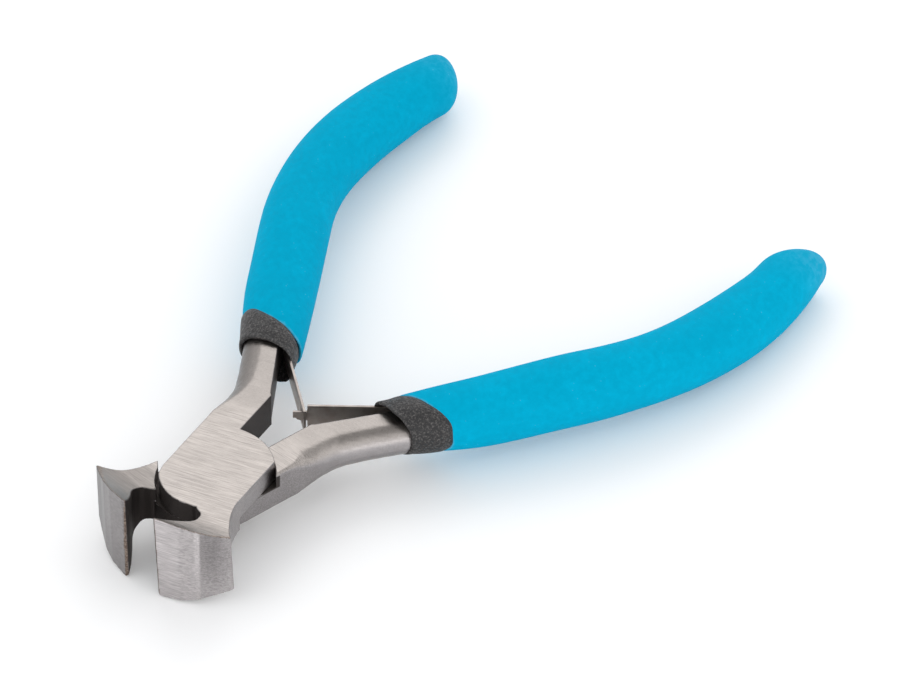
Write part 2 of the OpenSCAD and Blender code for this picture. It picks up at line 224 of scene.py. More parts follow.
def steel(x, y, z, z_top, p_top, z_low, p_low, lean):
    """Signed distance of one half's visible forging.

    z_top and z_low are the heights of the jaw's ends at JAW_END, p_top and p_low how its top and
    underside curve there from the joint; lean is the sideways shift at the underside and at the top.
    """
    r = np.hypot(x, y)
    plate = np.maximum(r - PLATE_R, polygon(x, y, PLATE_SIDE))
    # the jaw's front leans sideways a little from its underside to its top
    share = np.maximum(smooth_step(12.2, 15.4, x), smooth_step(6.5, 9.5, y) * smooth_step(9.5, 12.5, x))
    shift = (lean[0] + (lean[1] - lean[0]) * np.clip((z - z_low) / (z_top - z_low), 0, 1)) * share
    jaw = leaned_jaw(x, y, shift)
    # neck and shank: a rounded forged bar with a flat ground top
    g = -polygon(x, y, NECK_WIDE)
    corner, height, rise, low_height = (np.interp(x, ROUND_AT, row)
                                        for row in (ROUND_R, ROUND_H, ROUND_RISE, ROUND_LOW_H))
    rough = 0.016 * wobble(x, y, z, 1.3) * np.clip((-11.5 - x) / 3, 0, 1)
    top = rounded_corner(g, z - (TOP + rise - height), corner, height)
    low = rounded_corner(g, NECK_LOW + low_height - z, np.minimum(corner, LOW_CORNER), low_height)
    neck = round_max(np.maximum(top, low) + rough, polygon(x, y, NECK_INNER), 0.22)
    recess = np.maximum(np.maximum(r - (PLATE_R + RECESS_GAP), z - LAP_GAP), polygon(x, y, RECESS))
    both = round_max(np.minimum(jaw, neck), -recess, 0.08)
    body = np.minimum(both, np.maximum(plate, LAP_GAP - z))
    top_z, top_scale = side_height(x, TOP, z_top, p_top)
    low_z, low_scale = side_height(x, NECK_LOW, z_low, p_low)
    edge = 0.1
    body = round_max(body, (z - top_z) * top_scale, edge)
    return round_max(body, (np.minimum(low_z, NECK_LOW) - z) * low_scale, edge)


def surface_net(f, origin, h):
    """Vertices and quads of the zero surface of a sampled field."""
    s = f < 0
    n = [k - 1 for k in f.shape]
    count = np.zeros(n, np.uint8)
    corners = [(i, j, k) for i in (0, 1) for j in (0, 1) for k in (0, 1)]
    for i, j, k in corners:
        count += s[i:i + n[0], j:j + n[1], k:k + n[2]]
    mixed = (count > 0) & (count < 8)
    cells = np.argwhere(mixed)
    index = np.full(n, -1, np.int64)
    index[mixed] = np.arange(len(cells))
    acc, num = np.zeros((len(cells), 3)), np.zeros(len(cells))
    for a in corners:
        for way in range(3):
            if a[way]:
                continue
            b = list(a)
            b[way] = 1
            ca, cb = cells + np.array(a), cells + np.array(b)
            fa, fb = f[tuple(ca.T)].astype(float), f[tuple(cb.T)].astype(float)
            m = (fa < 0) != (fb < 0)
            t = fa[m] / (fa[m] - fb[m])
            pos = np.tile(np.array(a, float), (m.sum(), 1))
            pos[:, way] += t
            acc[m] += pos
            num[m] += 1
    verts = origin + h * (cells + acc / num[:, None])
    quads = []
    for way in range(3):
        u, v = (way + 1) % 3, (way + 2) % 3
        lo = [slice(None)] * 3
        hi = [slice(None)] * 3
        lo[way], hi[way] = slice(0, -1), slice(1, None)
        a, b = s[tuple(lo)], s[tuple(hi)]
        for flip, m in ((False, a & ~b), (True, ~a & b)):
            p = np.argwhere(m)
            p = p[(p[:, u] > 0) & (p[:, v] > 0) & (p[:, u] < n[u]) & (p[:, v] < n[v])]
            eu, ev = np.eye(3, dtype=int)[u], np.eye(3, dtype=int)[v]
            q = np.stack([index[tuple((p - eu - ev).T)], index[tuple((p - ev).T)],
                          index[tuple(p.T)], index[tuple((p - eu).T)]], 1)
            quads.append(q[:, ::-1] if flip else q)
    return verts, np.concatenate(quads)


def field_mesh(name, field, low, high, h, matrix):
    """Mesh of a field's zero surface, drawn exactly onto it, with its points and unit normals."""
    low = np.array(low, float)
    n = np.ceil((np.array(high) - low) / h).astype(int) + 1
    x = (low[0] + h * np.arange(n[0])).reshape(-1, 1, 1)
    y = (low[1] + h * np.arange(n[1])).reshape(1, -1, 1)
    z = (low[2] + h * np.arange(n[2])).reshape(1, 1, -1)
    f = np.broadcast_to(field(x, y, z), n).astype(np.float32)
    verts, quads = surface_net(f, low, h)
    for _ in range(2):
        g, mean = slope_of(field, verts, 0.03)
        # move each point down the slope to the zero surface, by less than a cell
        step = np.clip(mean / np.maximum((g * g).sum(1), 0.05), -h * 0.7, h * 0.7)
        verts = verts - g * step[:, None]
    g, _ = slope_of(field, verts, 0.05)
    n_out = g / np.maximum(np.linalg.norm(g, axis=1), 1e-6)[:, None]
    me = bpy.data.meshes.new(name)
    co = placed(verts, matrix)
    me.vertices.add(len(co))
    me.vertices.foreach_set("co", co.ravel().astype(np.float32))
    me.loops.add(quads.size)
    me.loops.foreach_set("vertex_index", quads.ravel().astype(np.int32))
    me.polygons.add(len(quads))
    me.polygons.foreach_set("loop_start", np.arange(0, quads.size, 4, dtype=np.int32))
    me.update(calc_edges=True)
    me.validate()
    return me, verts, n_out


TETRA = np.array([[1, -1, -1], [-1, -1, 1], [-1, 1, -1], [1, 1, 1]], float)


def slope_of(field, p, e):
    """Gradient and mean value of a field at the points p, from four probes at distance e."""
    g, mean = np.zeros_like(p), np.zeros(len(p))
    for k in TETRA:
        v = field(p[:, 0] + k[0] * e, p[:, 1] + k[1] * e, p[:, 2] + k[2] * e)
        g += k[None] * v[:, None]
        mean += v
    return g / (4 * e), mean / 4


# ------------------------------------------------------------------ handle axis

def axis(s):
    """Point, direction and the unit vector towards the other handle, at s from the collar's mouth."""
    s = np.asarray(s, float)
    a0 = math.radians(HANDLE_SLOPE)
    a = a0 - np.maximum(0, s - STRAIGHT) / BEND_R
    straight, inward = np.array([-math.cos(a0), -math.sin(a0)]), np.array([-math.sin(a0), math.cos(a0)])
    centre = MOUTH + STRAIGHT * straight + BEND_R * inward
    on_line = MOUTH + np.minimum(s, STRAIGHT)[..., None] * straight
    on_arc = centre + BEND_R * np.stack([np.sin(a), -np.cos(a)], -1)
    p = np.where((s > STRAIGHT)[..., None], on_arc, on_line)
    forward = np.stack([-np.cos(a), -np.sin(a)], -1)
    side = np.stack([-np.sin(a), np.cos(a)], -1)
    return p, forward, side


def to_handle(s, d, z):
    """Closed-frame points from distance along, distance across and height."""
    p, _, side = axis(s)
    xy = p + np.asarray(d)[..., None] * side
    return np.concatenate([xy, np.broadcast_to(z, np.shape(d))[..., None]], -1)


def smooth_curve(pairs, s):
    """Interpolation of (s, value) pairs with the kinks eased out."""
    at, values = np.array(pairs, float).T
    margin, samples, width, reach = 8, 400, 8, 20
    fine = np.linspace(at[0] - margin, at[-1] + margin, samples)
    kernel = np.exp(-0.5 * (np.arange(-reach, reach + 1) / width) ** 2)
    padded = np.pad(np.interp(fine, at, values), reach, mode="edge")
    return np.interp(s, fine, np.convolve(padded, kernel / kernel.sum(), "valid"))


# The cushion's half width and half height along the handle
GRIP_W = [[0, 4.75], [5.4, 5.1], [9, 5.3], [14, 5.45], [30, 5.5], [38, 5.36], [44, 5.42], [49, 5.58],
          [55, 5.7], [64, 5.45], [69, 5.15], [75, 4.85]]
GRIP_H = [[0, 3.9], [5.4, 4.35], [9, 4.78], [14, 5.0], [19, 5.22], [29, 5.4], [34, 5.18], [39, 5.0],
          [49, 4.86], [56, 4.76], [64, 4.72], [69, 4.55], [75, 4.35]]
# How far the cushion's centre stands towards the other handle, and above the bar
DRIFT = [[0, 0.5], [5.4, 0.42], [9, 0.26], [14, 0.12], [20, 0.1], [30, 0], [44, 0], [53, 0.12], [60, 0.05],
         [66, -0.1], [70, -0.3], [76, -0.45]]
LIFT = [[0, -0.25], [14, -0.2], [20, 0.08], [26, 0.45], [36, 0.7], [46, 0.5], [54, 0.3], [63, 0], [76, 0]]


def add_object(name, me):
    """Link a mesh into the scene, shaded smooth."""
    me.polygons.foreach_set("use_smooth", np.ones(len(me.polygons), bool))
    o = bpy.data.objects.new(name, me)
    bpy.context.scene.collection.objects.link(o)
    return o


def ring_object(name, rings, place, close_start=False, close_end=False):
    """Mesh of rings of points, each ring closed on itself."""
    rings = np.asarray(rings)
    m, n = rings.shape[:2]
    co = placed(rings.reshape(-1, 3), place)
    i = np.arange(m - 1)[:, None] * n
    k = np.arange(n)[None]
    k2 = (k + 1) % n
    faces = np.stack([i + k, i + k2, i + n + k2, i + n + k], -1).reshape(-1, 4).tolist()
    if close_start:
        faces.append(list(range(n))[::-1])
    if close_end:
        faces.append([(m - 1) * n + j for j in range(n)])
    me = bpy.data.meshes.new(name)
    me.from_pydata(co.tolist(), [], faces)
    me.update()
    return add_object(name, me)


def section(theta, half_w, half_h, power):
    """Superellipse section: across and up."""
    c, s = np.cos(theta), np.sin(theta)
    return half_w * np.sign(c) * np.abs(c) ** (2 / power), half_h * np.sign(s) * np.abs(s) ** (2 / power)


AROUND = 96                    # points round a grip or a sleeve
THETA = np.linspace(0, 2 * np.pi, AROUND, endpoint=False)
SLANT = (1.7, 3.1)             # lean of the sleeve's and the grip's front edge, forward on the inner side
COLLAR = 4.8                   # length of sleeve that shows
END = LENGTH - 1.6             # start of the rounded end
# Each grip's end: its slant, the length of the rounded cap, how much it slims, how far it comes down
ENDS = {"upper": (1.8, 4.4, 0.0, -0.05), "lower": (2.8, 3.7, 0.035, 0.1)}
UP = {"upper": 1, "lower": -1}                 # the lower half is turned over, so its up is down
# The turned-in front lip of a cushion: distance from the front edge and inset of each ring
LIP = ((1.6, 1.0), (0.9, 0.85), (0.35, 0.62), (0.08, 0.42), (0.0, 0.25), (0.03, 0.12), (0.16, 0.03),
       (0.4, 0.0))
WORN_LIP = slice(3 * AROUND, 7 * AROUND)       # the vertices of the lip's rubbed edge


def slant(s, end_slant):
    """Lean of a ring at s: forward on the inner side in front, back on it at the closed end."""
    s = np.asarray(s, float)
    front = (SLANT[0] + (SLANT[1] - SLANT[0]) * np.minimum(s, COLLAR) / COLLAR) * \
        np.clip(1 - (s - COLLAR) / 14, 0, 1) ** 1.5
    back = end_slant * smooth_step(END - 14, END, s)
    return np.maximum(front, back)


def grip_rings(side):
    """The cushion: turned-in front lip, long body and rounded closed end."""
    end_slant, cap, slim, drop = ENDS[side]
    z0, up, power = BAR_Z[side], UP[side], 2.12
    rings = []

    def ring(s, inset, front):
        """front says how strongly the front edge's ripple is felt."""
        w = smooth_curve(GRIP_W, s) * (1 - slim * smooth_step(56, 70, s)) - inset
        h = smooth_curve(GRIP_H, s) - inset
        d, z = section(THETA, w, h, power)
        ripple = (0.10 * np.sin(3 * THETA + 1) + 0.05 * np.sin(7 * THETA)) * front
        along = s - slant(s, end_slant) * np.cos(THETA) * w / 5 + ripple
        raised = up * (smooth_curve(LIFT, s) - drop * smooth_step(58, END, s))
        rings.append(to_handle(along, d + smooth_curve(DRIFT, s), z0 + z + raised))

    for s, inset in LIP:
        ring(COLLAR + s, inset, 1)
    for s in np.linspace(COLLAR + 1, END, 110):
        ring(s, 0, max(0, 1 - (s - COLLAR) / 5))
    p, forward, across = axis(END)
    w, h = smooth_curve(GRIP_W, END) * (1 - slim), smooth_curve(GRIP_H, END)
    for a in np.linspace(0.1, 1.53, 18):
        k = (1 - math.sin(a) ** 2.4) ** (1 / 2.2)
        out = cap * math.sin(a)
        d, z = section(THETA, w * k, h * k, power)
        bend = smooth_curve(DRIFT, END) + 0.3 * out ** 2 / BEND_R
        base = p + (d + bend)[:, None] * across + forward * (out - end_slant * d / 5)[:, None]
        rings.append(np.concatenate([base, (z0 + z - up * drop)[:, None]], 1))
    return rings


# How far forward a sleeve's front edge reaches at its inner corner on the floor's side
SLEEVE_CORNER = {"upper": 0.9, "lower": -0.25}
# Rings of the opening, from inside out, as (distance from the front, share of the opening's form), and
# of the front edge, as (distance, inset)
SLEEVE_MOUTH = ((9.0, 1.0), (4.0, 1.0), (1.2, 1.0), (0.4, 1.0), (0.16, 0.97), (0.06, 0.85), (0.02, 0.5))
SLEEVE_EDGE = ((0.0, 0.2), (0.04, 0.1), (0.13, 0.03), (0.3, 0.0), (0.62, 0.0), (0.8, 0.06), (1.0, 0.02))


def sleeve_rings(side):
    """What shows of the sleeve: the opening round the steel, the front edge and the outside."""
    z0, up = BAR_Z[side], UP[side]
    inner = np.cos(THETA) > 0
    ripple = 0.07 * np.sin(2 * THETA + 0.5) + 0.04 * np.sin(9 * THETA)
    corner = SLEEVE_CORNER[side] * np.maximum(0, np.cos(THETA + up * np.pi / 4)) ** 2
    hole_d, hole_z = section(THETA, np.where(inner, 3.4, 4.52), 3.08, np.where(inner, 3.8, 2.05))
    hole_d, hole_z = hole_d + 0.9, hole_z - (z0 - up * STEEL_Z)
    rings = []

    def ring(s, inset, hole=0.0):
        """hole 0 is the outer form, 1 the opening round the steel."""
        step = smooth_step(0, COLLAR, s)
        grow = 0.3 * step - inset
        half_w = np.where(inner, 4.75, 4.2 + 0.25 * step) + grow
        d, z = section(THETA, half_w, 3.68 + 0.27 * smooth_step(0, 2.5, s) + grow, 2.25)
        d, z = d * (1 - hole) + hole_d * hole, z * (1 - hole) + hole_z * hole
        along = s - slant(s, 0) * np.cos(THETA) + ripple - corner * np.clip(1 - s / COLLAR, 0, 1)
        rings.append(to_handle(along, d, z0 + z))

    for s, hole in SLEEVE_MOUTH:
        ring(s, 0.12, hole)
    for s, inset in SLEEVE_EDGE:
        ring(s, inset)
    for s in np.linspace(1.25, 10.0, 24):
        under = s - (COLLAR - 0.4)
        ring(s, 0.3 * min(1, max(0, under)))
    return rings


# ------------------------------------------------------------------ materials

def material(name):
    """New material, its node tree and its shader."""
    m = bpy.data.materials.new(name)
    m.use_nodes = True
    nt = m.node_tree
    return m, nt, nt.nodes["Principled BSDF"]


def link(nt, a, out, b, inp):
    nt.links.new(a.outputs[out], b.inputs[inp])


def add(nt, kind, **values):
    """New node with its properties set."""
    n = nt.nodes.new(kind)
    for k, v in values.items():
        setattr(n, k, v)
    return n


def coords(nt, turn, scale):
    """Object coordinates turned about Z by turn degrees and scaled, in units of 1/mm."""
    tc = add(nt, "ShaderNodeTexCoord")
    mp = add(nt, "ShaderNodeMapping")
    mp.vector_type = "TEXTURE"
    mp.inputs["Rotation"].default_value = (0, 0, math.radians(turn))
    mp.inputs["Scale"].default_value = tuple(MM / s for s in scale)
    link(nt, tc, "Object", mp, "Vector")
    return mp


def noise(nt, vector, detail, rough):
    n = add(nt, "ShaderNodeTexNoise")
    n.inputs["Scale"].default_value = 1.0
    n.inputs["Detail"].default_value = detail
    n.inputs["Roughness"].default_value = rough
    link(nt, vector, "Vector", n, "Vector")
    return n


def remap(nt, source, out, low, high, a, b):
    """Output of a node taken from low..high to a..b."""
    n = add(nt, "ShaderNodeMapRange")
    for k, v in zip(("From Min", "From Max", "To Min", "To Max"), (low, high, a, b)):
        n.inputs[k].default_value = v
    link(nt, source, out, n, "Value")
    return n


def mix(nt, factor, a, b, blend="MIX"):
    """Colour mix. a and b are outputs or plain colours, factor an output or a number."""
    n = add(nt, "ShaderNodeMix", data_type="RGBA", blend_type=blend)
    if isinstance(factor, (int, float)):
        n.inputs[0].default_value = factor
    else:
        nt.links.new(factor, n.inputs[0])
    for socket, v in ((n.inputs[6], a), (n.inputs[7], b)):
        if isinstance(v, tuple):
            socket.default_value = (*v, 1)
        else:
            nt.links.new(v, socket)
    return n.outputs[2]


def math_node(nt, op, a, b):
    """Sum or product of two outputs or numbers."""
    n = add(nt, "ShaderNodeMath", operation=op)
    for i, v in enumerate((a, b)):
        if isinstance(v, (int, float)):
            n.inputs[i].default_value = v
        else:
            nt.links.new(v, n.inputs[i])
    return n.outputs[0]


def grey(nt, value):
    """A number as a colour."""
    n = add(nt, "ShaderNodeCombineColor")
    for i in range(3):
        nt.links.new(value, n.inputs[i])
    return n.outputs[0]


def relief(nt, bsdf, layers, strength, distance):
    """Bump from (output, weight) layers; distance in metres."""
    height = None
    for out, weight in layers:
        layer = math_node(nt, "MULTIPLY", out, weight)
        height = layer if height is None else math_node(nt, "ADD", height, layer)
    bump = add(nt, "ShaderNodeBump")
    bump.inputs["Strength"].default_value = strength
    bump.inputs["Distance"].default_value = distance
    nt.links.new(height, bump.inputs["Height"])
    link(nt, bump, "Normal", bsdf, "Normal")


def steel_material(name, turn, painted_shade_tint=(1.0, 1.0, 1.0)):
    """Ground and satin-finished forged steel. turn is the direction of the grinding lines on flat faces; the
    tint dims this copy as painted shade.
    """
    m, nt, bsdf = material(name)
    lines = noise(nt, coords(nt, turn, (6.2, 0.2, 6.2)), 3.0, 0.6)
    fine = noise(nt, coords(nt, turn, (13.0, 0.6, 13.0)), 2.0, 0.5)
    blotch = noise(nt, coords(nt, 0, (0.25, 0.25, 0.25)), 3.0, 0.5)
    grain = noise(nt, coords(nt, 0, (3.5, 3.5, 3.5)), 4.0, 0.65)
    level = remap(nt, lines, "Fac", 0.3, 0.7, 0.76, 1.22)
    scratch = remap(nt, fine, "Fac", 0.35, 0.65, 0.87, 1.12)
    cloud = remap(nt, blotch, "Fac", 0.3, 0.7, 0.95, 1.04)
    ground = add(nt, "ShaderNodeAttribute", attribute_name="ground")
    mottle = remap(nt, grain, "Fac", 0.35, 0.65, 0.93, 1.06)
    streaks = math_node(nt, "MULTIPLY", level.outputs[0], scratch.outputs[0])
    finish = add(nt, "ShaderNodeMix", data_type="FLOAT")
    link(nt, ground, "Fac", finish, 0)
    nt.links.new(mottle.outputs[0], finish.inputs[2])
    nt.links.new(streaks, finish.inputs[3])
    shade = math_node(nt, "MULTIPLY", finish.outputs[0], cloud.outputs[0])
    # painted shade: the tint argument dims a whole copy of the steel
    base = mix(nt, 1.0, (0.322 * painted_shade_tint[0], 0.294 * painted_shade_tint[1], 0.275 * painted_shade_tint[2]), grey(nt, shade), "MULTIPLY")
    # painted light: the per-point factor brightens and darkens faces as their reflections and shade would
    painted_light = add(nt, "ShaderNodeAttribute", attribute_name="painted_light")
    base = mix(nt, 1.0, base, painted_light.outputs["Color"], "MULTIPLY")
    # the hollow and the neck's inside wall are darkened, the walls in the gap round the lap and the hidden
    # lap faces get painted shade, and the cutting lands are browned
    dark_and_shade = add(nt, "ShaderNodeAttribute", attribute_name="dark_and_painted_shade")
    base = mix(nt, dark_and_shade.outputs["Fac"], base, (0.040, 0.033, 0.030))
    land = add(nt, "ShaderNodeAttribute", attribute_name="land")
    spots = remap(nt, grain, "Fac", 0.46, 0.60, 0.0, 1.0)
    brown = mix(nt, spots.outputs[0], (0.105, 0.072, 0.056), (0.30, 0.235, 0.19))
    base = mix(nt, land.outputs["Fac"], base, brown)
    nt.links.new(base, bsdf.inputs["Base Color"])
    bsdf.inputs["Metallic"].default_value = 1.0
    satin = remap(nt, fine, "Fac", 0.3, 0.7, 0.27, 0.38)
    dull = math_node(nt, "MULTIPLY", dark_and_shade.outputs["Fac"], 0.36)
    nt.links.new(math_node(nt, "ADD", satin.outputs[0], dull), bsdf.inputs["Roughness"])
    relief(nt, bsdf, ((lines.outputs["Fac"], 0.6), (fine.outputs["Fac"], 0.35), (grain.outputs["Fac"], 0.25)),
           0.5, 0.00004)
    return m


def cushion_material(name, painted_light_gain):
    """Soft matt blue rubber with faint clouds, rare pale specks and worn places; the gain brightens this copy
    as painted light.
    """
    m, nt, bsdf = material(name)
    big = noise(nt, coords(nt, 0, (0.12, 0.12, 0.12)), 3.0, 0.55)
    mid = noise(nt, coords(nt, 0, (0.9, 0.9, 0.9)), 4.0, 0.6)
    fine = noise(nt, coords(nt, 0, (6.0, 6.0, 6.0)), 3.0, 0.6)
    speck = add(nt, "ShaderNodeTexVoronoi", feature="F1")
    speck.inputs["Scale"].default_value = 1.0
    link(nt, coords(nt, 0, (1.6, 1.6, 1.6)), "Vector", speck, "Vector")
    cloud = remap(nt, mid, "Fac", 0.35, 0.7, 0.0, 1.0)
    base = mix(nt, cloud.outputs[0], (0.0005, 0.318 * painted_light_gain, 0.500 * painted_light_gain),
               (0.0008, 0.367 * painted_light_gain, 0.572 * painted_light_gain))
    wide = remap(nt, big, "Fac", 0.35, 0.65, 0.0, 0.45)
    base = mix(nt, wide.outputs[0], base, (0.0006, 0.298 * painted_light_gain, 0.470 * painted_light_gain))
    dots = remap(nt, speck, "Distance", 0.05, 0.14, 0.55, 0.0)
    rare = remap(nt, mid, "Fac", 0.55, 0.62, 0.0, 1.0)
    specks = math_node(nt, "MULTIPLY", dots.outputs[0], rare.outputs[0])
    base = mix(nt, specks, base, (0.22, 0.50, 0.60))
    worn = add(nt, "ShaderNodeAttribute", attribute_name="worn")
    scuff = remap(nt, mid, "Fac", 0.42, 0.6, 0.25, 1.0)
    rubbed = math_node(nt, "MULTIPLY", worn.outputs["Fac"], scuff.outputs[0])
    base = mix(nt, rubbed, base, (0.085, 0.37, 0.55))
    nt.links.new(base, bsdf.inputs["Base Color"])
    r = remap(nt, mid, "Fac", 0.3, 0.7, 0.52, 0.66)
    nt.links.new(r.outputs[0], bsdf.inputs["Roughness"])
    bsdf.inputs["IOR"].default_value = 1.25
    bsdf.inputs["Specular IOR Level"].default_value = 0.03
    relief(nt, bsdf, ((mid.outputs["Fac"], 1.0), (fine.outputs["Fac"], 0.5)), 0.6, 0.00012)
    return m


def sleeve_material(name):
    """Black pebbled plastic, with painted glints as light specks."""
    m, nt, bsdf = material(name)
    pebble = add(nt, "ShaderNodeTexVoronoi", feature="SMOOTH_F1")
    pebble.inputs["Scale"].default_value = 1.0
    link(nt, coords(nt, 0, (2.2, 2.2, 2.2)), "Vector", pebble, "Vector")
    mid = noise(nt, coords(nt, 0, (1.4, 1.4, 1.4)), 4.0, 0.65)
    fine = noise(nt, coords(nt, 0, (3.4, 3.4, 3.4)), 4.0, 0.7)
    # painted glints: light specks stand for the shine on the pebbles
    painted_glints = remap(nt, fine, "Fac", 0.50, 0.62, 0.0, 1.0)
    base = mix(nt, painted_glints.outputs[0], (0.0085, 0.0078, 0.0085), (0.085, 0.079, 0.076))
    nt.links.new(base, bsdf.inputs["Base Color"])
    r = remap(nt, mid, "Fac", 0.3, 0.7, 0.42, 0.62)
    nt.links.new(r.outputs[0], bsdf.inputs["Roughness"])
    relief(nt, bsdf, ((pebble.outputs["Distance"], 0.8), (mid.outputs["Fac"], 1.2)), 0.8, 0.00022)
    return m


def rod_material(name):
    """Drawn steel of the bars in the sleeves and of the rivets."""
    m, nt, bsdf = material(name)
    lines = noise(nt, coords(nt, 24, (0.4, 5.0, 5.0)), 3.0, 0.6)
    k = remap(nt, lines, "Fac", 0.3, 0.7, 0.0, 1.0)
    nt.links.new(mix(nt, k.outputs[0], (0.27, 0.255, 0.245), (0.36, 0.34, 0.325)), bsdf.inputs["Base Color"])
    bsdf.inputs["Metallic"].default_value = 1.0
    r = remap(nt, lines, "Fac", 0.3, 0.7, 0.34, 0.46)
    nt.links.new(r.outputs[0], bsdf.inputs["Roughness"])
    return m


def spring_material(name, turn):
    """Rolled spring steel; turn is the direction of the strip."""
    m, nt, bsdf = material(name)
    lines = noise(nt, coords(nt, turn, (0.3, 3.0, 5.0)), 3.0, 0.6)
    blotch = noise(nt, coords(nt, 0, (0.5, 0.5, 0.5)), 3.0, 0.6)
    k = remap(nt, blotch, "Fac", 0.35, 0.65, 0.0, 1.0)
    base = mix(nt, k.outputs[0], (0.31, 0.27, 0.245), (0.39, 0.355, 0.33))
    nt.links.new(base, bsdf.inputs["Base Color"])
    bsdf.inputs["Metallic"].default_value = 1.0
    r = remap(nt, lines, "Fac", 0.3, 0.7, 0.34, 0.48)
    nt.links.new(r.outputs[0], bsdf.inputs["Roughness"])
    relief(nt, bsdf, ((lines.outputs["Fac"], 1.0),), 0.5, 0.00004)
    return m


def set_attribute(me, name, values):
    a = me.attributes.new(name, "FLOAT", "POINT")
    a.data.foreach_set("value", np.asarray(values, np.float32))


# Painted reflection: how strongly the face's facets are painted to shine, by the angle in degrees round the
# face
FACE_PAINTED_SHINE = {"upper": ([1, 11.5, 13.5, 19.3, 20.8, 22.0, 23.0, 29, 34, 38],
                        [1.66, 1.62, 1.38, 1.42, 1.68, 1.68, 0.92, 0.80, 0.98, 1.2]),
              "lower": ([1, 11, 14, 19, 22, 28, 31, 38],
                        [0.84, 0.84, 0.78, 0.74, 0.60, 0.48, 0.31, 0.24])}
TOP_PAINTED_SHADE = {"upper": (9.6, 0.20), "lower": (5.0, 0.33)}   # painted shade: where it starts to darken a top, and by how much
# painted light on the upright walls: how much brighter or darker each half's walls are painted
WALL_PAINTED_LIGHT = {"upper": 0.14, "lower": -0.06}
WALL_PAINTED_TINT = np.array([0.97, 1.0, 1.07])                        # painted reflection tint of the upright walls


def set_painted_light(me, v, n, side):
    """How strongly each ground face shines, as a colour factor: painted reflections and painted shade."""
    x, y, z = v.T
    up = UP[side] * n[:, 2]
    start, loss = TOP_PAINTED_SHADE[side]
    painted_light = 1 - loss * smooth_step(0.3, 0.6, up) * smooth_step(0.0, 2.5, x - start)
    painted_shine = np.interp(np.degrees(np.arctan2(y, x - FACE_CENTRE)), *FACE_PAINTED_SHINE[side])
    if side == "upper":
        painted_shine = 1.5 + (painted_shine - 1.5) * np.clip((z + 9.3) / 9, 0.3, 1)
        shade = np.where(n[:, 1] < 0, 0.16 + 0.37 * smooth_step(0.12, 0.6, -n[:, 1]), 0.16)
    else:
        shade = np.interp(-n[:, 1], [0.0, 0.2, 0.45, 0.8, 1.0], [0.12, 0.12, -0.08, -0.18, -0.1])
    # painted shade: the shank's rounded sides are darkened by which way they face
    painted_light *= 1 - smooth_step(-12.5, -16.5, x) * shade
    flat = smooth_step(0.3, 0.8, np.abs(up))
    face = (np.hypot(x - FACE_CENTRE, y) > 17.2) & (x > 10) & (np.abs(up) < 0.6) & (n[:, 0] > 0.5)
    painted_light = np.where(face, painted_shine, painted_light * (1 + WALL_PAINTED_LIGHT[side] * (1 - flat)))
    rgb = painted_light[:, None] * (flat[:, None] + (1 - flat[:, None]) * WALL_PAINTED_TINT)
    # the painted light is stored as a colour attribute that the steel multiplies in
    a = me.attributes.new("painted_light", "FLOAT_COLOR", "POINT")
    a.data.foreach_set("color", np.concatenate([rgb, np.ones((len(v), 1))], 1).astype(np.float32).ravel())


# ------------------------------------------------------------------ the two halves

GRID = 0.16
JAW_ENDS = {"upper": dict(z_top=5.8, p_top=3.0, z_low=-9.3, p_low=0.85, lean=(0.22, -0.42)),
            "lower": dict(z_top=9.3, p_top=1.0, z_low=-5.8, p_low=1.9, lean=(0.45, 0.0))}


def darkness(v, n):
    """How dark each point is: the hollow and the neck's inside wall are darkened, and the walls in the gap
    round the lap plate, the lap recess and the hidden lap faces get painted shade.
    """
    x, y, z = v.T
    r = np.hypot(x, y)
    wall = 1 - smooth_step(0.12, 0.35, np.abs(n[:, 2]))
    bright = ((n[:, 1] > 0.5) & (y > 6.6)) | (((y > 4.4) | (y < -5.0)) & (x > 2))
    hollow = (x > 8.6) & (x < 15.9) & (y < 5.2) & (y > -4.6) & ~((n[:, 0] > 0.6) & (x > 12))
    # front, lap and lap_face are painted shade in the gap between the halves
    front = (x > 4.6) & (r < 10.4) & (y > -6.2) & ~bright
    lap = (z < 0.3) & (r < 10.0) & ~bright
    lap_face = (np.abs(z - LAP_GAP) < 0.3) & (n[:, 2] < -0.5)
    inside = (x < -9.0) & (n[:, 1] > 0.7)
    dark_and_painted_shade = np.where(hollow | front, 0.94, 0) * wall
    dark_and_painted_shade = np.maximum(dark_and_painted_shade, np.where(lap, 0.9, 0) * wall)
    dark_and_painted_shade = np.maximum(dark_and_painted_shade, np.where(lap_face, 0.85, 0))
    return np.maximum(dark_and_painted_shade, np.where(inside, np.where(x > -18.6, 0.82, 0.72), 0) * wall)


def brownness(v, n, side):
    """How browned each point is: the land behind the edge, and the rim that looks up."""
    x, y, _ = v.T
    edge = (x > 15.6) & (y < 0.62) & (n[:, 1] < -0.45) & (n[:, 0] > 0.2)
    rim = (np.hypot(x - FACE_CENTRE, y) > 17.6) & (x > 12) & (UP[side] * n[:, 2] > 0.5)
    return np.where(edge, 0.9, np.where(rim, 0.6, 0.0))


